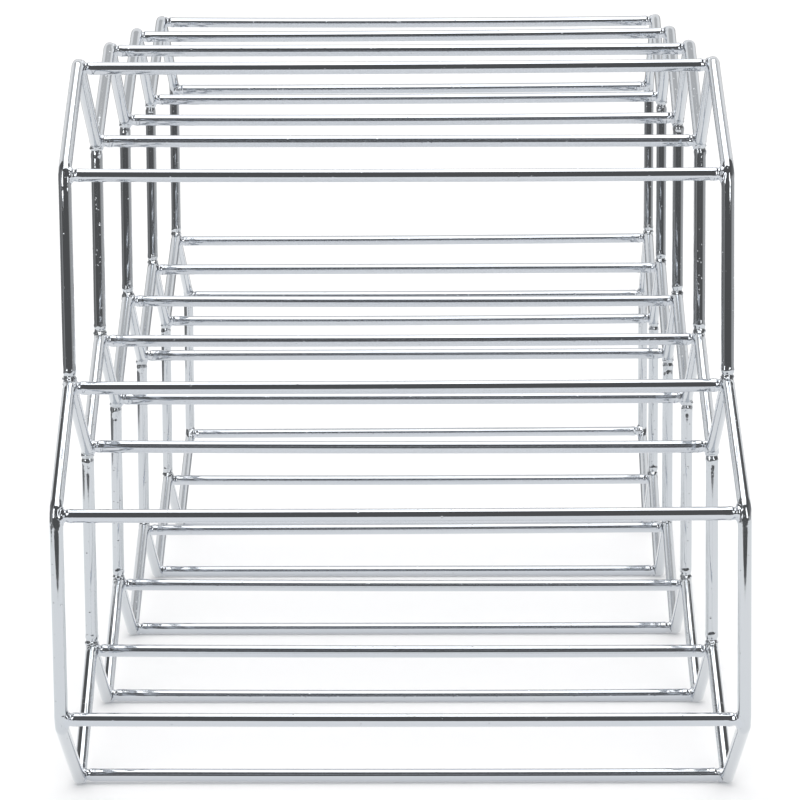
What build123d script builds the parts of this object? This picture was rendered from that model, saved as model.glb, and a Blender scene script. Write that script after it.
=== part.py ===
from build123d import *
from math import atan2, cos
import os

os.makedirs("parts", exist_ok=True)

# A wire rack of hexagonal cells: five cells in the lower row and four in the upper row.
# Y runs along the rack, X along the cross rods and Z up. All sizes are in millimetres.

# Driving dimensions
wire_diameter = 4.0
frame_spacing = 200.0       # between the centre planes of the two side frames
cell_pitch = 110.0          # from one cell to the next along the rack
upright_length = 64.0       # corner to corner, up one side of a cell
slope_rise = 30.0           # height gained along one sloping side of a cell
lower_cells = 5
bend_radius = 5.5           # centreline of every bend in the frame wires

# Where a cross rod sits against a corner of the frame wires
seat_above_valley = 0.9     # above a corner that points down
seat_below_peak = 1.6       # below a corner that points up
seat_end_inset = 0.9        # from an end upright towards the middle of its cell
seat_end_drop = 1.4         # from the end corner along the upright

# Butt welds
rod_bite = 1.1              # how far a rod end runs past the inner face of a frame wire
collar_radius = 2.3         # metal squeezed out around a rod end
collar_length = 1.5

# Derived sizes
wire_radius = wire_diameter / 2
half_pitch = cell_pitch / 2
slope_angle = atan2(slope_rise, half_pitch)
bend_rounding = bend_radius * (1 / cos(slope_angle) - 1)
frame_plane = frame_spacing / 2
rod_end = frame_plane - wire_radius + rod_bite
corner_steps = 2 * lower_cells      # half pitches from one end of the rack to the other

# Heights of the corners of the frame centreline, before the bends are rounded
foot = wire_radius - bend_rounding
lower_start = foot + slope_rise
lower_end = lower_start + upright_length
upper_start = lower_end + slope_rise
upper_end = upper_start + upright_length
crest = upper_end + slope_rise


def along(step):
    """Position along the rack of a corner, counted in half pitches from the near end."""
    return (step - corner_steps / 2) * half_pitch


def lower_loop_corners():
    """Corners of the closed wire round the lower row of cells."""
    bottom = [(along(i), lower_start if i % 2 == 0 else foot) for i in range(corner_steps + 1)]
    middle = [(along(i), lower_end if i % 2 == 0 else upper_start) for i in range(corner_steps + 1)]
    return bottom + middle[::-1]


def top_zigzag_corners():
    """Corners of the wire over the upper row, with both ends turned down as uprights."""
    first = 1
    last = corner_steps - 1
    top = [(along(i), upper_end if i % 2 == 1 else crest) for i in range(first, last + 1)]
    joint = upper_start - bend_rounding
    return [(along(first), joint)] + top + [(along(last), joint)]


# The two side frames
loops = []
zigzags = []
lower_uprights = []
upper_uprights = []
for side, x in (("left", -frame_plane), ("right", frame_plane)):
    with BuildPart() as lower_loop:
        with BuildLine(Plane.YZ.offset(x)) as loop_path:
            FilletPolyline(*lower_loop_corners(), radius=bend_radius, close=True)
        with BuildSketch(Plane(origin=loop_path.line @ 0, z_dir=loop_path.line % 0)):
            Circle(wire_radius)
        sweep()
    lower_loop.part.label = f"{side} lower loop"
    export_step(lower_loop.part, f"parts/{side}_lower_loop.step")
    loops.append(lower_loop.part)

    with BuildPart() as top_zigzag:
        with BuildLine(Plane.YZ.offset(x)) as zigzag_path:
            FilletPolyline(*top_zigzag_corners(), radius=bend_radius)
        with BuildSketch(Plane(origin=zigzag_path.line @ 0, z_dir=zigzag_path.line % 0)):
            Circle(wire_radius)
        sweep()
        add(lower_loop.part, mode=Mode.SUBTRACT)
    top_zigzag.part.label = f"{side} top zigzag"
    export_step(top_zigzag.part, f"parts/{side}_top_zigzag.step")
    zigzags.append(top_zigzag.part)

    for number in range(1, lower_cells):
        y = along(2 * number)
        bottom = lower_start - bend_rounding
        top = lower_end + bend_rounding
        with BuildPart() as lower_upright:
            with BuildSketch(Plane.XY.offset(bottom)):
                with Locations((x, y)):
                    Circle(wire_radius)
            extrude(amount=top - bottom)
            add(lower_loop.part, mode=Mode.SUBTRACT)
        lower_upright.part.label = f"{side} lower upright {number}"
        export_step(lower_upright.part, f"parts/{side}_lower_upright_{number}.step")
        lower_uprights.append(lower_upright.part)

    for number in range(1, lower_cells - 1):
        y = along(2 * number + 1)
        bottom = upper_start - bend_rounding
        top = upper_end + bend_rounding
        with BuildPart() as upper_upright:
            with BuildSketch(Plane.XY.offset(bottom)):
                with Locations((x, y)):
                    Circle(wire_radius)
            extrude(amount=top - bottom)
            add(lower_loop.part, mode=Mode.SUBTRACT)
            add(top_zigzag.part, mode=Mode.SUBTRACT)
        upper_upright.part.label = f"{side} upper upright {number}"
        export_step(upper_upright.part, f"parts/{side}_upper_upright_{number}.step")
        upper_uprights.append(upper_upright.part)


def rod_rows():
    """Name and (y, z) centre of every cross rod, row by row from the bottom."""
    odd = range(1, corner_steps, 2)
    even = range(0, corner_steps + 1, 2)
    last = corner_steps
    rows = [("bottom_rod", [(along(i), foot + seat_above_valley) for i in odd])]

    def seat(step, first, final, inner_height, end_height):
        """End rods sit inside the end bends, the others on their zigzag corners."""
        if step == first:
            return (along(step) + seat_end_inset, end_height)
        if step == final:
            return (along(step) - seat_end_inset, end_height)
        return (along(step), inner_height)

    low = lower_start - seat_below_peak
    low_end = lower_start + seat_end_drop
    rows.append(("lower_rod", [seat(i, 0, last, low, low_end) for i in even]))
    mid = lower_end + seat_above_valley
    mid_end = lower_end - seat_end_drop
    rows.append(("lower_middle_rod", [seat(i, 0, last, mid, mid_end) for i in even]))
    rows.append(("upper_middle_rod", [(along(i), upper_start - seat_below_peak) for i in odd]))
    high = upper_end + seat_above_valley
    high_end = upper_end - seat_end_drop
    rows.append(("shoulder_rod", [seat(i, 1, last - 1, high, high_end) for i in odd]))
    inner = range(2, corner_steps, 2)
    rows.append(("top_rod", [(along(i), crest - seat_below_peak) for i in inner]))
    return rows


# The cross rods, each with its ends shaped to the wires they meet
for row_name, centres in rod_rows():
    for number, (y, z) in enumerate(centres, start=1):
        with BuildPart() as cross_rod:
            with BuildSketch(Plane.YZ.offset(-rod_end)):
                with Locations((y, z)):
                    Circle(wire_radius)
            extrude(amount=2 * rod_end)
            for x, tilt in ((-rod_end, -90), (rod_end, 90)):
                with Locations(Location((x, y, z), (0, tilt, 0))):
                    Cone(wire_radius, collar_radius, collar_length,
                         align=(Align.CENTER, Align.CENTER, Align.MAX))
            for wire in loops + zigzags:
                add(wire, mode=Mode.SUBTRACT)
            for upright in lower_uprights + upper_uprights:
                if abs(upright.center().Y - y) < half_pitch / 2:
                    add(upright, mode=Mode.SUBTRACT)
        label = f"{row_name}_{number}"
        cross_rod.part.label = label.replace("_", " ")
        export_step(cross_rod.part, f"parts/{label}.step")
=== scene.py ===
import math

import bpy
import numpy as np
from mathutils import Matrix, Vector

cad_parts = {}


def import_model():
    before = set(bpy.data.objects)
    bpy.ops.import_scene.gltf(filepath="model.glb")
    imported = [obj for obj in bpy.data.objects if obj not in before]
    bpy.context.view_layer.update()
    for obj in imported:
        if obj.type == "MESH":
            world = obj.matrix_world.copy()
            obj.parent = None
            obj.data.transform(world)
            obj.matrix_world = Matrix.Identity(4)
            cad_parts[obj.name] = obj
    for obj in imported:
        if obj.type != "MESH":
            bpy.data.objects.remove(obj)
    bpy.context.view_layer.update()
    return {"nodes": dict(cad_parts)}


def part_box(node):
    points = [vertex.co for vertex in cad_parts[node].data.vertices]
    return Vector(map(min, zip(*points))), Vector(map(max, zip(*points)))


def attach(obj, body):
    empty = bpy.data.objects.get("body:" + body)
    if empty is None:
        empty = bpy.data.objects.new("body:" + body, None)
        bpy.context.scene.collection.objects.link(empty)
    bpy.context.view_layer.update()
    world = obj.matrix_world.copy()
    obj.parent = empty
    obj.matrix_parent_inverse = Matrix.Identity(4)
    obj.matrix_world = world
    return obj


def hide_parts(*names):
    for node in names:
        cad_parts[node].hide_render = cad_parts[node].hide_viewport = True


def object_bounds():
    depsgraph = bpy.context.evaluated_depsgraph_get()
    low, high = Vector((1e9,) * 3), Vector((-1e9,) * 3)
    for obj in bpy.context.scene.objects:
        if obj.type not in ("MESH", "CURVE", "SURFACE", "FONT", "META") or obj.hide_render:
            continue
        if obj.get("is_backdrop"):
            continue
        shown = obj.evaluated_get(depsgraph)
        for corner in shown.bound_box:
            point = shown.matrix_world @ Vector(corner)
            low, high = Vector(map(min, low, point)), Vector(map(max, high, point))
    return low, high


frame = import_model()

# A chromed wire rack: bent-wire honeycomb side frames joined by butt-welded cross rods.
# Everything is in metres, in the row frame: X along the rods, Y along the rack, Z up.

MM = 0.001
MICRON = 0.000001
rng = np.random.default_rng(41)

# ---------------------------------------------------------------- sizes, as in the CAD
CORNER_STEPS = 10          # half pitches along the rack
HALF_PITCH = 55 * MM
UPRIGHT = 64 * MM
RISE = 30 * MM
BEND = 5.5 * MM
loop_low, loop_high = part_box("left_lower_loop")
WIRE = (loop_high.x - loop_low.x) / 2      # radius of every wire
FRAME_X = -(loop_high.x + loop_low.x) / 2
ROUNDING = BEND * (1 / math.cos(math.atan2(RISE, HALF_PITCH)) - 1)
FOOT = loop_low.z + WIRE - ROUNDING
LOWER_START = FOOT + RISE
LOWER_END = LOWER_START + UPRIGHT
UPPER_START = LOWER_END + RISE
UPPER_END = UPPER_START + UPRIGHT
CREST = UPPER_END + RISE

SIDES = 36                 # facets round a wire
RUN_STEP = 3.2 * MM        # ring spacing on a straight run
NEAR_STEP = 0.55 * MM      # and near the welds
NEAR_RUN = 7.5 * MM        # how far from a run's end the close rings go
BEND_RINGS = 12            # rings round one bend
CLEAR = 7 * MM             # the rings of a joint start this far short of the wire's tip
MEET_REACH = 16 * MM       # other wires count for a joint up to this far from its tip
PROBE = 0.01 * MM          # step used to find which way a surface faces
FACE_STEPS = 60            # steps taken along a wire's centre line to the wire it meets
MARCH_STEPS = 40           # the same, for the rays round the centre line
SETTLE_STEPS = 9           # steps that bring a point onto the fused surface

BLEND = 0.45 * MM          # how far weld metal flows out over the wire
BEAD = (0.62 * MM, 2.26 * MM)   # half thickness and radius of the metal squeezed out at a rod's end
UPRIGHT_BEAD = (0.62 * MM, 2.12 * MM)
BEAD_BLEND = 0.5 * MM      # how far the bead flows into the metal next to it
BEAD_SHIFT = 0.12 * MM     # spread of the bead's place
NECK = 0.13                # share by which a wire narrows where it was forged into the joint
NECK_PLACE = (0.55 * MM, 0.75 * MM)     # distance back from the joint, and half length
SHOULDER = 0.3 * NECK      # the slight swelling behind the neck
SHOULDER_PLACE = (2.1 * MM, 0.8 * MM)
RIPPLES = 6                # waves added up for the uneven surface of one weld
RIPPLE_HEIGHT = 0.07 * MM
RIPPLE_REACH = 1.6 * MM
BLEND_RIPPLE = 0.35        # share by which the flow varies round a joint
LEAD_RINGS = 17            # rings from the plain wire up to the joint
LEAD_CROWDING = 0.7        # under 1 sets them closer together at the joint
FLARE_RINGS = 10           # and from there out onto the other wire
FLARE_MARGIN = 0.35 * MM
SINK = 0.05 * MM           # the last ring is pushed this far into the other wire

WAVES = 26                 # waves added up for the lumps and dents round the joints
WAVE_LENGTHS = (1.7 * MM, 4.2 * MM)
LUMPS = 0.24 * MM          # height of these lumps and dents
LUMP_REACH = 3.0 * MM
WELD_MARK = 4.5 * MM       # reach of the softer, rippled plating round a weld

TACK = 0.5 * MM            # how far up or down a rod end was tacked, at most
SWAY = 0.12 * MM           # spread of a rod's own bend at mid-span
SAG = 0.25 * MM            # how far a rod hangs down at mid-span
BOW = 1.2 * MM             # half of the slight bow of the whole rack, seen from above
LEAN = 0.0065              # how far the front end leans sideways for each unit of height
LEAN_HEIGHT = 0.11         # the height it turns about
LEAN_REST = -0.05          # the rack stands straight from here back
LEAN_FULL = -0.20          # and leans fully from here forward


def along(step):
    return (step - CORNER_STEPS / 2) * HALF_PITCH


def bow(points):
    """The finished rack is bowed a little in plan and its front end leans, as welding leaves it."""
    out = points.copy()
    half = CORNER_STEPS / 2 * HALF_PITCH
    out[:, 0] += BOW * (2 * (points[:, 1] / half) ** 2 - 1)
    t = np.clip((LEAN_REST - points[:, 1]) / (LEAN_REST - LEAN_FULL), 0, 1)
    out[:, 0] += LEAN * (LEAN_HEIGHT - points[:, 2]) * t * t * (3 - 2 * t)
    return out


# ---------------------------------------------------------------- centre lines
def graded(length):
    """Ring places along a straight run: close together near its ends, where the welds are."""
    near = min(NEAR_RUN, length / 2)
    fine = np.linspace(0, near, max(2, int(round(near / NEAR_STEP)) + 1))
    middle = np.linspace(near, length - near, max(2, int(round((length - 2 * near) / RUN_STEP)) + 1))
    return np.concatenate([fine, middle[1:-1], length - fine[::-1]])


def rounded(corners, radius, closed):
    """Points along a line of straight runs with a round bend at each corner."""
    corners = [np.array(c, float) for c in corners]
    count = len(corners)
    line = []
    ends = []
    for i, here in enumerate(corners):
        if not closed and i in (0, count - 1):
            ends.append((here, here, [here]))
            continue
        before = corners[i - 1] - here
        after = corners[(i + 1) % count] - here
        u = before / np.linalg.norm(before)
        v = after / np.linalg.norm(after)
        half = math.acos(max(-1, min(1, float(u @ v)))) / 2
        reach = radius / math.tan(half)
        middle = (u + v) / np.linalg.norm(u + v)
        centre = here + middle * radius / math.sin(half)
        first = here + u * reach
        last = here + v * reach
        a = first - centre
        b = last - centre
        sweep = math.acos(max(-1, min(1, float(a @ b) / radius ** 2)))
        arc = []
        for k in range(BEND_RINGS):
            t = k / (BEND_RINGS - 1)
            across = math.sin((1 - t) * sweep) * a + math.sin(t * sweep) * b
            arc.append(centre + across / math.sin(sweep))
        ends.append((first, last, arc))
    for i, (first, last, arc) in enumerate(ends):
        line.extend(arc)
        if not closed and i == count - 1:
            break
        following = ends[(i + 1) % count][0]
        length = np.linalg.norm(following - last)
        for reach in graded(length)[1:-1]:
            line.append(last + (following - last) * reach / length)
    return np.array(line)


def loop_corners():
    bottom = [(along(i), LOWER_START if i % 2 == 0 else FOOT) for i in range(CORNER_STEPS + 1)]
    middle = [(along(i), LOWER_END if i % 2 == 0 else UPPER_START) for i in range(CORNER_STEPS + 1)]
    return bottom + middle[::-1]


def zigzag_corners():
    top = [(along(i), UPPER_END if i % 2 == 1 else CREST) for i in range(1, CORNER_STEPS)]
    joint = UPPER_START - ROUNDING
    return [(along(1), joint)] + top + [(along(CORNER_STEPS - 1), joint)]


def in_plane(x, flat):
    return np.column_stack([np.full(len(flat), x), flat])


# ---------------------------------------------------------------- weld shape
def line_distance(points, starts, ends):
    """Distance from each point to the nearest of many short straight pieces."""
    along_piece = ends - starts
    length = np.maximum((along_piece ** 2).sum(1), 1e-18)
    offset = points[:, None, :] - starts[None, :, :]
    t = np.clip((offset * along_piece).sum(2) / length, 0, 1)
    gap = offset - t[:, :, None] * along_piece
    return np.sqrt((gap ** 2).sum(2)).min(1)


def melt(a, b, size):
    """Smaller of two distances, flowing together over size."""
    h = np.maximum(size - np.abs(a - b), 0) / size
    return np.minimum(a, b) - h * h * size / 4


def slope(distance, p):
    """How much a distance changes over twice the probe step, along each axis."""
    change = np.empty_like(p)
    for axis in range(3):
        shift = np.zeros(3)
        shift[axis] = PROBE
        change[:, axis] = distance(p + shift) - distance(p - shift)
    return change


class Weld:
    """A wire end fused to the wires it meets."""

    def __init__(self, tip, toward, lines, bead, seed):
        self.tip = np.array(tip, float)
        self.toward = np.array(toward, float) / np.linalg.norm(toward)
        self.starts = np.concatenate([line[:-1] for line in lines])
        self.ends = np.concatenate([line[1:] for line in lines])
        self.bead = bead
        local = np.random.default_rng(seed)
        self.phase = local.uniform(0, 2 * math.pi, RIPPLES)
        self.amount = local.uniform(0.4, 1.0, RIPPLES)
        self.offset = local.normal(0, BEAD_SHIFT, 3)
        # where the wire's centre line first touches the wire it meets
        far = 8 * MM
        start = self.tip[None, :] - self.toward * far
        gone = np.zeros(1)
        for _ in range(FACE_STEPS):
            gone += np.maximum(self.others(start + self.toward * gone[:, None]), 0)
        self.face = self.tip - self.toward * (far - min(gone[0], far))

    def others(self, p):
        return line_distance(p, self.starts, self.ends) - WIRE

    def ripple(self, p):
        """Uneven height: waves that run in spread-out directions and get shorter with k."""
        q = (p - self.tip) / MM
        wave = np.zeros(len(p))
        for k in range(RIPPLES):
            axis = np.array([math.sin(k * 2.1 + 0.4), math.cos(k * 1.7), math.sin(k * 3.3 + 1.1)])
            wave += self.amount[k] * np.sin(q @ axis * (1.3 + 0.45 * k) + self.phase[k])
        return wave / RIPPLES

    def distance(self, p):
        """Distance from the fused surface: wire, other wires and bead flowing together."""
        off = (p - self.tip) @ self.toward
        radial = np.linalg.norm(p - self.tip - off[:, None] * self.toward, axis=1)
        back = (self.face - self.tip) @ self.toward - off
        width = 1 - NECK * np.exp(-((back - NECK_PLACE[0]) / NECK_PLACE[1]) ** 2)
        width += SHOULDER * np.exp(-((back - SHOULDER_PLACE[0]) / SHOULDER_PLACE[1]) ** 2)
        own = radial - WIRE * width
        q = p - (self.face + self.offset)
        deep = q @ self.toward
        wide = np.linalg.norm(q - deep[:, None] * self.toward, axis=1)
        thick, broad = self.bead
        lump = (np.sqrt((deep / thick) ** 2 + (wide / broad) ** 2) - 1) * thick
        metal = melt(own, self.others(p), BLEND * (1 + BLEND_RIPPLE * self.ripple(p * 0.6)))
        near = np.exp(-((deep / RIPPLE_REACH) ** 2))
        return melt(metal, lump, BEAD_BLEND) - RIPPLE_HEIGHT * self.ripple(p) * near

    def settle(self, p):
        """Moves points onto the fused surface."""
        for _ in range(SETTLE_STEPS):
            d = self.distance(p)
            grad = slope(self.distance, p) / (2 * PROBE)
            size = np.maximum((grad ** 2).sum(1), 0.25)
            p = p - (d / size)[:, None] * grad * 0.9
        return p


def end_rings(weld, e1, e2):
    """Rings from a plain round section, clear of the joint, out onto the wires it meets."""
    angle = np.arange(SIDES) * 2 * math.pi / SIDES
    ray = np.cos(angle)[:, None] * e1 + np.sin(angle)[:, None] * e2

    def surface(rho):
        """How far short of the tip the other wire's surface lies, along each ray."""
        start = weld.tip + ray * rho[:, None] - weld.toward * CLEAR
        gone = np.zeros(SIDES)
        for _ in range(MARCH_STEPS):
            gap = weld.others(start + weld.toward * gone[:, None])
            gone = np.minimum(gone + np.maximum(gap, 0), CLEAR)
        return CLEAR - gone

    rings = []
    first = surface(np.full(SIDES, WIRE)) + BLEND
    for k in range(LEAD_RINGS):
        t = (k / LEAD_RINGS) ** LEAD_CROWDING
        back = CLEAR * (1 - t) + first * t
        rings.append(weld.tip + ray * WIRE - weld.toward * back[:, None])
    for k in range(FLARE_RINGS):
        phi = k / (FLARE_RINGS - 1) * math.pi / 2
        rho = np.full(SIDES, WIRE + (BLEND + FLARE_MARGIN) * (1 - math.cos(phi)))
        back = surface(rho) + BLEND * (1 - math.sin(phi))
        rings.append(weld.tip + ray * rho[:, None] - weld.toward * back[:, None])
    settled = np.split(weld.settle(np.concatenate(rings[1:])), len(rings) - 1)
    last = settled[-1]
    sunk = last - SINK * normals_of(weld, last)
    return [rings[0]] + settled + [sunk]


def normals_of(weld, p):
    """Which way the surface of the other wires faces."""
    change = slope(weld.others, p)
    return change / np.maximum(np.linalg.norm(change, axis=1), 1e-12)[:, None]


# ---------------------------------------------------------------- mesh making
weld_spots = []


def section(centre, e1, e2):
    angle = np.arange(SIDES) * 2 * math.pi / SIDES
    return centre + WIRE * (np.cos(angle)[:, None] * e1 + np.sin(angle)[:, None] * e2)


def skin(name, rings, closed):
    """Mesh over rings of points, with a lengthwise and a round-the-wire coordinate."""
    points = np.concatenate(rings)
    if not closed:
        points = np.vstack([points, rings[0].mean(0), rings[-1].mean(0)])
    count = len(rings)
    centres = np.array([r.mean(0) for r in rings])
    steps = np.linalg.norm(np.diff(centres, axis=0), axis=1)
    run = np.concatenate([[0], np.cumsum(steps)])
    faces = []
    coords = []
    last = count if closed else count - 1
    total = run[-1] + (np.linalg.norm(centres[0] - centres[-1]) if closed else 0)
    for i in range(last):
        j = (i + 1) % count
        v0 = run[i] / MM
        v1 = (run[j] if j else total) / MM
        for k in range(SIDES):
            m = (k + 1) % SIDES
            faces.append((i * SIDES + k, i * SIDES + m, j * SIDES + m, j * SIDES + k))
            u0 = k / SIDES
            u1 = (k + 1) / SIDES
            coords.extend(((u0, v0), (u1, v0), (u1, v1), (u0, v1)))
    if not closed:
        # both ends are shut inside the wire they are welded to
        top = (count - 1) * SIDES
        for k in range(SIDES):
            m = (k + 1) % SIDES
            faces.append((count * SIDES, m, k))
            faces.append((count * SIDES + 1, top + k, top + m))
            end = run[-1] / MM
            coords.extend(((0.5, 0.0), (1.0, 0.0), (0.0, 0.0), (0.5, end), (0.0, end), (1.0, end)))
    mesh = bpy.data.meshes.new(name)
    mesh.from_pydata(bow(points).tolist(), [], faces)
    layer = mesh.uv_layers.new(name="wire")
    layer.data.foreach_set("uv", np.array(coords, np.float32).ravel())
    mesh.polygons.foreach_set("use_smooth", np.ones(len(faces), bool))
    mesh.update()
    piece = bpy.data.objects.new(name, mesh)
    bpy.context.scene.collection.objects.link(piece)
    return piece, points


def mark_welds(piece, source):
    """Stores how near each point is to a weld, for the softer, rippled plating there."""
    near = np.zeros(len(source))
    for spot in weld_spots:
        d = np.linalg.norm(source - spot, axis=1)
        near = np.maximum(near, np.exp(-((d / WELD_MARK) ** 2)))
    layer = piece.data.attributes.new("weld", "FLOAT", "POINT")
    layer.data.foreach_set("value", near.astype(np.float32))


wave_rng = np.random.default_rng(11)
wave_way = wave_rng.normal(0, 1, (3, WAVES))
wave_way /= np.linalg.norm(wave_way, axis=0)
wave_way *= 2 * math.pi / wave_rng.uniform(*WAVE_LENGTHS, WAVES)
wave_phase = wave_rng.uniform(0, 2 * math.pi, WAVES)


def lumpiness(p):
    """Smooth random height, about -1 to 1, the same on every piece that meets at a place."""
    return np.sin(p @ wave_way + wave_phase).sum(1) / math.sqrt(WAVES) * 0.8


def dent(piece, source):
    """Lumps and dents left round each joint by the welding."""
    mesh = piece.data
    flat = np.empty(len(mesh.vertices) * 3, np.float32)
    mesh.vertices.foreach_get("co", flat)
    normal = np.empty(len(mesh.vertices) * 3, np.float32)
    mesh.vertex_normals.foreach_get("vector", normal)
    spots = np.array(weld_spots)
    beyond = 20 * MM        # welds farther along the rack than this have no effect on the piece
    first = source[:, 1].min() - beyond
    last = source[:, 1].max() + beyond
    spots = spots[(spots[:, 1] > first) & (spots[:, 1] < last)]
    near = np.zeros(len(source))
    for spot in spots:
        near = np.maximum(near, np.exp(-((source - spot) ** 2).sum(1) / LUMP_REACH ** 2))
    height = LUMPS * near * lumpiness(source)
    moved = flat.reshape(-1, 3) + normal.reshape(-1, 3) * height[:, None]
    mesh.vertices.foreach_set("co", moved.astype(np.float32).ravel())
    mesh.update()


pieces = []


def add_piece(node, rings, closed=False):
    piece, points = skin(f"{node}_wire", rings, closed)
    pieces.append((piece, node, points))


X_AXIS = np.array([1.0, 0.0, 0.0])
Y_AXIS = np.array([0.0, 1.0, 0.0])
Z_AXIS = np.array([0.0, 0.0, 1.0])


def wire_rings(line, closed):
    """Round sections square to a line that lies in a plane of constant X."""
    count = len(line)
    rings = []
    for i in range(count):
        ahead = line[(i + 1) % count] if closed or i < count - 1 else line[i]
        behind = line[i - 1] if closed or i > 0 else line[i]
        tangent = ahead - behind
        tangent[0] = 0
        tangent /= np.linalg.norm(tangent)
        rings.append(section(line[i], X_AXIS, np.cross(tangent, X_AXIS)))
    return rings


loop_lines = {}
zigzag_lines = {}


def cut_near(line, spot):
    """The stretches of a line that count for a joint at a point."""
    near = np.linalg.norm(line - spot, axis=1) < MEET_REACH
    keep = np.where(near)[0]
    if len(keep) == 0:
        return []
    groups = np.split(keep, np.where(np.diff(keep) > 1)[0] + 1)
    return [line[max(g[0] - 1, 0):g[-1] + 2] for g in groups]


for side, sign in (("left", -1), ("right", 1)):
    flat = rounded(loop_corners(), BEND, True)
    line = in_plane(sign * FRAME_X, flat)
    loop_lines[side] = np.vstack([line, line[:1]])
    rings = wire_rings(line, True)
    add_piece(f"{side}_lower_loop", rings, True)
    flat = rounded(zigzag_corners(), BEND, False)
    zigzag_lines[side] = in_plane(sign * FRAME_X, flat)


def upright_line(node):
    low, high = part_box(node)
    x = (low.x + high.x) / 2
    y = (low.y + high.y) / 2
    return np.array([(x, y, low.z), (x, y, high.z)], float)


uprights = {}
for side in ("left", "right"):
    for row, count in (("lower", 4), ("upper", 3)):
        for number in range(1, count + 1):
            node = f"{side}_{row}_upright_{number}"
            uprights[node] = upright_line(node)

seed = 100
for side in ("left", "right"):
    # the top wire's two ends stand on the first and last peaks of the loop
    line = zigzag_lines[side]
    run = np.concatenate([[0], np.cumsum(np.linalg.norm(np.diff(line, axis=0), axis=1))])
    body = line[(run > CLEAR) & (run < run[-1] - CLEAR)]
    made = []
    for tip, ahead in ((line[0], Z_AXIS), (line[-1], -Z_AXIS)):
        seed += 1
        weld_spots.append(tip + Z_AXIS * WIRE)
        weld = Weld(tip, -Z_AXIS, cut_near(loop_lines[side], tip), UPRIGHT_BEAD, seed)
        made.append(end_rings(weld, X_AXIS, np.cross(ahead, X_AXIS)))
    add_piece(f"{side}_top_zigzag", made[0][::-1] + wire_rings(body, False) + made[1])

for node, line in uprights.items():
    side = node.split("_")[0]
    seed += 2
    low, high = line
    below = loop_lines[side]
    above = zigzag_lines[side] if "upper" in node else loop_lines[side]
    weld_spots.append(low + Z_AXIS * WIRE)
    weld_spots.append(high - Z_AXIS * WIRE)
    foot = Weld(low, -Z_AXIS, cut_near(below, low), UPRIGHT_BEAD, seed)
    head = Weld(high, Z_AXIS, cut_near(above, high), UPRIGHT_BEAD, seed + 1)
    levels = low[2] + CLEAR + graded(high[2] - low[2] - 2 * CLEAR)[1:-1]
    middle = np.array([(low[0], low[1], z) for z in levels])
    rings = end_rings(foot, X_AXIS, Y_AXIS)[::-1]
    rings += [section(c, X_AXIS, Y_AXIS) for c in middle]
    rings += end_rings(head, X_AXIS, Y_AXIS)
    add_piece(node, rings)

# ---------------------------------------------------------------- cross rods
ROD_NODES = sorted(n for n in frame["nodes"] if "_rod_" in n)


def rod_centre(node):
    low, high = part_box(node)
    return (low.y + high.y) / 2, (low.z + high.z) / 2


for node in ROD_NODES:
    y, z = rod_centre(node)
    left, right = rng.uniform(-TACK, TACK, 2)
    if node.startswith("bottom"):
        left, right = abs(left), abs(right)     # the ends of these are only ever tacked upwards
    seed += 2
    sway = rng.normal(0, SWAY, 2)

    def centre(x):
        """Centre of the rod, bent most at mid-span."""
        u = (x + FRAME_X) / (2 * FRAME_X)
        lift = left * (1 - u) + right * u - SAG * 4 * u * (1 - u)
        bend = 4 * u * (1 - u)
        return np.array([x, y + sway[0] * bend, z + lift + sway[1] * bend])

    ends = []
    for side, sign in (("left", -1), ("right", 1)):
        tip = centre(sign * FRAME_X)
        toward = tip - centre(sign * (FRAME_X - 5 * MM))
        lines = cut_near(loop_lines[side], tip) + cut_near(zigzag_lines[side], tip)
        for name, line in uprights.items():
            if name.startswith(side) and abs(line[0][1] - tip[1]) < HALF_PITCH / 2:
                if line[0][2] - MEET_REACH < tip[2] < line[1][2] + MEET_REACH:
                    lines.append(line)
        weld_spots.append(tip - toward / np.linalg.norm(toward) * WIRE * 0.6)
        weld = Weld(tip, toward, lines, BEAD, seed + (sign + 1) // 2)
        ends.append(end_rings(weld, Y_AXIS, Z_AXIS))
    stations = graded(2 * (FRAME_X - CLEAR))[1:-1] - (FRAME_X - CLEAR)
    middle = [section(centre(x), Y_AXIS, Z_AXIS) for x in stations]
    rings = ends[0][::-1] + middle + ends[1]
    add_piece(node, rings)


# ---------------------------------------------------------------- chrome
def node_tree(material):
    material.use_nodes = True
    tree = material.node_tree
    tree.nodes.clear()
    return tree


class Nodes:
    """Short calls for building a node tree."""

    def __init__(self, tree):
        self.tree = tree

    def add(self, kind, inputs=None, **settings):
        node = self.tree.nodes.new(kind)
        for key, value in settings.items():
            setattr(node, key, value)
        for key, value in (inputs or {}).items():
            if isinstance(value, bpy.types.NodeSocket):
                self.tree.links.new(value, node.inputs[key])
            else:
                node.inputs[key].default_value = value
        return node

    def math(self, operation, a, b=0.0, c=0.0):
        node = self.add("ShaderNodeMath", {0: a, 1: b, 2: c}, operation=operation)
        return node.outputs[0]

    def spread(self, value, low, high, to_low=0.0, to_high=1.0):
        node = self.add("ShaderNodeMapRange", {"Value": value, "From Min": low, "From Max": high,
                                               "To Min": to_low, "To Max": to_high})
        return node.outputs[0]

    def blend(self, amount, a, b):
        node = self.add("ShaderNodeMix", {0: amount}, data_type="RGBA")
        for socket, value in ((node.inputs[6], a), (node.inputs[7], b)):
            if isinstance(value, bpy.types.NodeSocket):
                self.tree.links.new(value, socket)
            else:
                socket.default_value = value
        return node.outputs[2]

    def chosen(self, cells, channel, over):
        """1 in those cells of a Voronoi texture whose random colour is over a limit."""
        colours = self.add("ShaderNodeSeparateColor", {0: cells.outputs["Color"]})
        return self.math("GREATER_THAN", colours.outputs[channel], over)

    def surface(self, shader):
        out = self.add("ShaderNodeOutputMaterial")
        self.tree.links.new(shader.outputs[0], out.inputs["Surface"])


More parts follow.
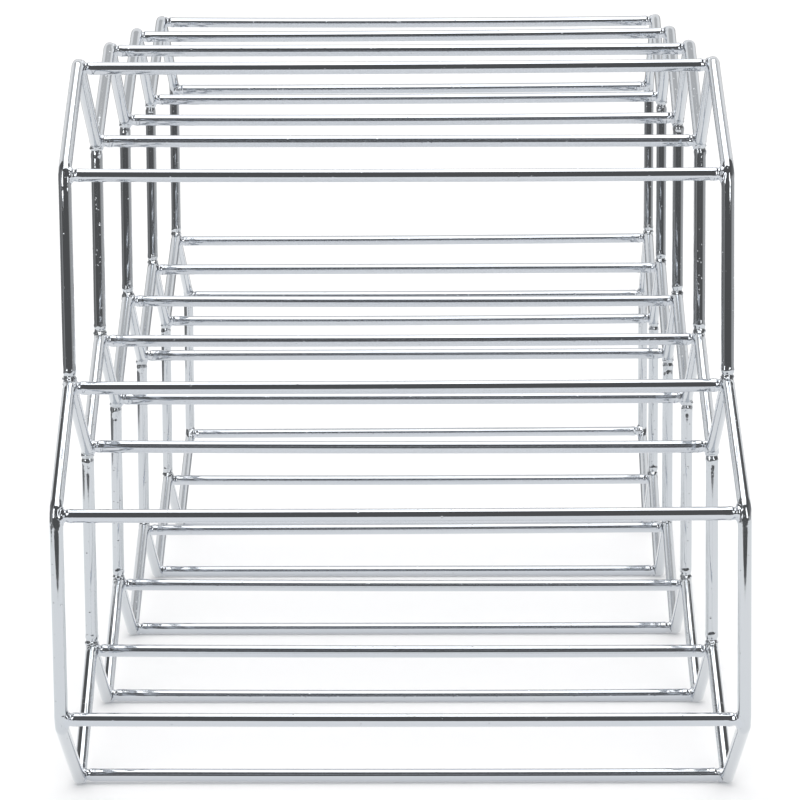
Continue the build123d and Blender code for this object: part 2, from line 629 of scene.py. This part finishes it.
def chrome(name, tint_a, tint_b):
    material = bpy.data.materials.new(name)
    n = Nodes(node_tree(material))
    place = n.add("ShaderNodeTexCoord").outputs["Object"]
    wire = n.add("ShaderNodeUVMap", uv_map="wire").outputs[0]
    weld = n.add("ShaderNodeAttribute", attribute_name="weld").outputs["Fac"]

    def cloud(scale, detail):
        return n.add("ShaderNodeTexNoise", {"Vector": place, "Scale": scale, "Detail": detail,
                                            "Roughness": 0.5}).outputs["Fac"]

    # colour: slow drift in the plating, darker in scattered pits
    drift = n.spread(cloud(14.0, 2.0), 0.35, 0.65)
    colour = n.blend(drift, tint_a, tint_b)
    pits = n.add("ShaderNodeTexVoronoi", {"Vector": place, "Scale": 290.0, "Randomness": 1.0})
    near_pit = n.spread(pits.outputs["Distance"], 0.03, 0.11, 1.0, 0.0)
    dot = n.math("MULTIPLY", near_pit, n.chosen(pits, 0, 0.74))
    colour = n.blend(n.math("MULTIPLY", dot, 0.35), colour, (0.30, 0.31, 0.33, 1.0))

    # roughness: mirror bright, softer in faint haze, along draw lines, at the welds and in pits
    haze = n.spread(cloud(55.0, 4.0), 0.52, 0.72)
    stretch = n.add("ShaderNodeMapping", {"Vector": wire, "Scale": (26.0, 0.035, 1.0)}).outputs[0]
    lines = n.add("ShaderNodeTexNoise", {"Vector": stretch, "Scale": 1.0, "Detail": 3.0}).outputs["Fac"]
    rough = n.spread(haze, 0.0, 1.0, 0.035, 0.085)
    rough = n.math("ADD", rough, n.spread(lines, 0.45, 0.75, 0.0, 0.03))
    rough = n.math("ADD", rough, n.math("MULTIPLY", weld, 0.05))
    rough = n.math("ADD", rough, n.math("MULTIPLY", dot, 0.25))

    # relief: draw lines, orange peel, slow swell, ripple at the welds, sunken pits, raised specks
    dust = n.add("ShaderNodeTexVoronoi", {"Vector": place, "Scale": 760.0, "Randomness": 1.0})
    near_dust = n.spread(dust.outputs["Distance"], 0.04, 0.20, 1.0, 0.0)
    speck = n.math("MULTIPLY", near_dust, n.chosen(dust, 1, 0.80))
    ripple = n.math("MULTIPLY", cloud(900.0, 2.0), weld)
    peel = cloud(420.0, 2.0)
    swell = cloud(120.0, 2.0)
    height = n.math("MULTIPLY", lines, 2.2 * MICRON)
    for layer, microns in ((peel, 3.0), (swell, 10.0), (ripple, 60.0), (dot, -60.0), (speck, 40.0)):
        height = n.math("ADD", height, n.math("MULTIPLY", layer, microns * MICRON))
    bump = n.add("ShaderNodeBump", {"Height": height, "Strength": 1.0, "Distance": 1.0})
    shader = n.add("ShaderNodeBsdfPrincipled", {"Base Color": colour, "Metallic": 1.0, "Roughness": rough,
                                                "Normal": bump.outputs[0]})
    n.surface(shader)
    return material


frame_chrome = chrome("chrome_frame_wire", (0.630, 0.660, 0.695, 1.0), (0.655, 0.680, 0.710, 1.0))
rod_chrome = chrome("chrome_cross_rod", (0.635, 0.665, 0.710, 1.0), (0.660, 0.685, 0.725, 1.0))

for piece, node, source in pieces:
    dent(piece, source)
    mark_welds(piece, source)
    is_rod = "_rod_" in node
    piece.data.materials.append(rod_chrome if is_rod else frame_chrome)
    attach(piece, "root")
    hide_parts(node)

# ---------------------------------------------------------------- studio
scene = bpy.context.scene
scene.view_settings.view_transform = "Standard"
PURE_WHITE = (1.0, 1.0, 1.0, 1.0)


def plane(name, low, high, height, material):
    mesh = bpy.data.meshes.new(name)
    corners = [(low[0], low[1], height), (high[0], low[1], height),
               (high[0], high[1], height), (low[0], high[1], height)]
    mesh.from_pydata(corners, [], [(0, 1, 2, 3)])
    thing = bpy.data.objects.new(name, mesh)
    scene.collection.objects.link(thing)
    thing.data.materials.append(material)
    thing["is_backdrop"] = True
    return thing


def pale(name, colour, glow):
    material = bpy.data.materials.new(name)
    n = Nodes(node_tree(material))
    place = n.add("ShaderNodeTexCoord").outputs["Object"]
    grain = n.add("ShaderNodeTexNoise", {"Vector": place, "Scale": 60.0, "Detail": 3.0}).outputs["Fac"]
    tone = n.spread(grain, 0.3, 0.7, 0.985, 1.0)
    darker = (colour[0] * 0.97, colour[1] * 0.97, colour[2] * 0.97, 1.0)
    mixed = n.blend(tone, darker, (*colour, 1.0))
    shader = n.add("ShaderNodeBsdfPrincipled", {"Base Color": mixed, "Roughness": 0.85,
                                                "Emission Color": PURE_WHITE, "Emission Strength": glow})
    n.surface(shader)
    return material


def glowing(name, strength):
    """Plain white light; strength is a function that gives its brightness, from the nodes."""
    material = bpy.data.materials.new(name)
    n = Nodes(node_tree(material))
    n.surface(n.add("ShaderNodeEmission", {"Color": PURE_WHITE, "Strength": strength(n)}))
    return material


def only_in_chrome(thing):
    """The chrome reflects it, but the camera and the floor don't see it and it casts no shadow."""
    thing.visible_camera = False
    thing.visible_diffuse = False
    thing.visible_shadow = False
    thing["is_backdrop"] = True


# the floor is for the camera; a smaller table stands in for it in the chrome
floor = plane("floor", (-9, -9), (9, 9), 0.0, pale("floor_pale", (0.90, 0.90, 0.905), 0.0))
floor.visible_glossy = False
floor.visible_diffuse = False
floor.visible_shadow = False
table_pale = pale("table_pale", (0.40, 0.405, 0.41), 0.47)
table = plane("table_in_reflections", (-0.55, -0.64), (0.80, 0.86), -0.0004, table_pale)
table.visible_camera = False
table.visible_shadow = False


def softbox(name, centre, size, aim, power):
    data = bpy.data.lights.new(name, "AREA")
    data.shape = "RECTANGLE"
    data.size, data.size_y = size
    data.energy = power
    lamp = bpy.data.objects.new(name, data)
    lamp.location = centre
    lamp.rotation_euler = (Vector(aim) - Vector(centre)).to_track_quat("-Z", "Y").to_euler()
    lamp.visible_camera = False
    lamp.visible_diffuse = False
    scene.collection.objects.link(lamp)


SOFTBOX_CENTRE = (0.02, -0.052, 0.88)
SOFTBOX_AIM = (0.02, 0.248, 0.075)
softbox("overhead_softbox", SOFTBOX_CENTRE, (0.70, 0.86), SOFTBOX_AIM, 3.9)

STRIP_WIDTH = 0.17
STRIP_LOW = 0.137
STRIP_HIGH = 0.62
STRIP_STRENGTH = 2.4


def upright_sheet(name, left, right, low, high, material):
    """A flat sheet standing across the rack's length."""
    mesh = bpy.data.meshes.new(name)
    corners = [(left, 0, low), (right, 0, low), (right, 0, high), (left, 0, high)]
    mesh.from_pydata(corners, [], [(0, 1, 2, 3)])
    thing = bpy.data.objects.new(name, mesh)
    scene.collection.objects.link(thing)
    thing.data.materials.append(material)
    return thing


def strip_light(name, x, y):
    """Upright lamp beside the camera, turned to the rack, seen in the chrome only."""
    half = STRIP_WIDTH / 2
    white = glowing(name, lambda n: STRIP_STRENGTH)
    thing = upright_sheet(name, -half, half, STRIP_LOW, STRIP_HIGH, white)
    thing.location = (x, y, 0)
    thing.rotation_euler = (0, 0, math.atan2(x, -y))
    only_in_chrome(thing)


strip_light("left_strip", -0.40, -0.58)
strip_light("right_strip", 0.385, -0.62)


def backdrop_strength(n):
    """White, with grey low in the middle and along the top."""
    look = n.add("ShaderNodeSeparateXYZ", {0: n.add("ShaderNodeTexCoord").outputs["Object"]})
    sideways = n.spread(n.math("ABSOLUTE", look.outputs[0]), 0.45, 0.62)
    above = n.spread(look.outputs[2], 0.36, 0.50)
    level = n.spread(n.math("MAXIMUM", sideways, above), 0.0, 1.0, 0.38, 0.97)
    return n.math("SUBTRACT", level, n.spread(look.outputs[2], 1.20, 1.30, 0.0, 0.37))


def backdrop():
    """Sheet behind the rack, seen in the chrome only."""
    white = glowing("backdrop_white", backdrop_strength)
    thing = upright_sheet("backdrop", -1.12, 1.05, 0, 1.75, white)
    thing.location = (0, 0.86, 0)
    only_in_chrome(thing)


backdrop()


def world():
    """White for the camera and the floor. The chrome sees a dark room with four paler parts."""
    made = bpy.data.worlds.new("studio")
    scene.world = made
    made.use_nodes = True
    made.cycles.sampling_method = "NONE"
    tree = made.node_tree
    tree.nodes.clear()
    n = Nodes(tree)
    look = n.add("ShaderNodeSeparateXYZ", {0: n.add("ShaderNodeTexCoord").outputs["Generated"]})
    x, y, z = look.outputs
    turn = n.math("DEGREES", n.math("ARCTAN2", x, y))
    lift = n.math("DEGREES", n.math("ARCSINE", z))

    def between(value, low, high, soft):
        rising = n.spread(value, low - soft, low + soft)
        return n.math("MULTIPLY", rising, n.spread(value, high + soft, high - soft))

    low_on_the_right = (0.31, between(turn, 50, 118, 6), n.spread(lift, 12.0, 3.0))
    left_strip = (0.24, between(turn, -115, -100, 3))
    low_behind = (0.08, between(turn, -95, 95, 10), n.spread(lift, 34, 26))
    high_behind = (0.5, between(turn, -38, 38, 4), n.spread(lift, 38, 44))
    level = 0.11
    for amount, *limits in (low_on_the_right, left_strip, low_behind, high_behind):
        for limit in limits:
            amount = n.math("MULTIPLY", amount, limit)
        level = n.math("ADD", level, amount)
    sky = n.add("ShaderNodeBackground", {"Color": PURE_WHITE, "Strength": level})
    white = n.add("ShaderNodeBackground", {"Color": PURE_WHITE, "Strength": 1.3})
    path = n.add("ShaderNodeLightPath")
    seen = n.math("MAXIMUM", path.outputs["Is Camera Ray"], path.outputs["Is Diffuse Ray"])
    mix = n.add("ShaderNodeMixShader", {0: seen, 1: sky.outputs[0], 2: white.outputs[0]})
    out = n.add("ShaderNodeOutputWorld")
    tree.links.new(mix.outputs[0], out.inputs["Surface"])


world()

# ---------------------------------------------------------------- camera
camera_data = bpy.data.cameras.new("camera")
camera = bpy.data.objects.new("camera", camera_data)
scene.collection.objects.link(camera)
scene.camera = camera
camera_data.sensor_width = 36
camera_data.lens = 163.7
camera_data.clip_end = 60
CAMERA_PLACE = (0.0153, -1.3150, 0.2803)
YAW = -0.0133
PITCH = -0.1458
ROLL = -0.0050
ahead = Vector((math.sin(YAW) * math.cos(PITCH), math.cos(YAW) * math.cos(PITCH), math.sin(PITCH)))
level_right = Vector((math.cos(YAW), -math.sin(YAW), 0))
level_up = level_right.cross(ahead)
right = math.cos(ROLL) * level_right + math.sin(ROLL) * level_up
up = math.cos(ROLL) * level_up - math.sin(ROLL) * level_right
turned = Matrix((right, up, -ahead)).transposed()
camera.matrix_world = Matrix.Translation(CAMERA_PLACE) @ turned.to_4x4()

low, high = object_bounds()
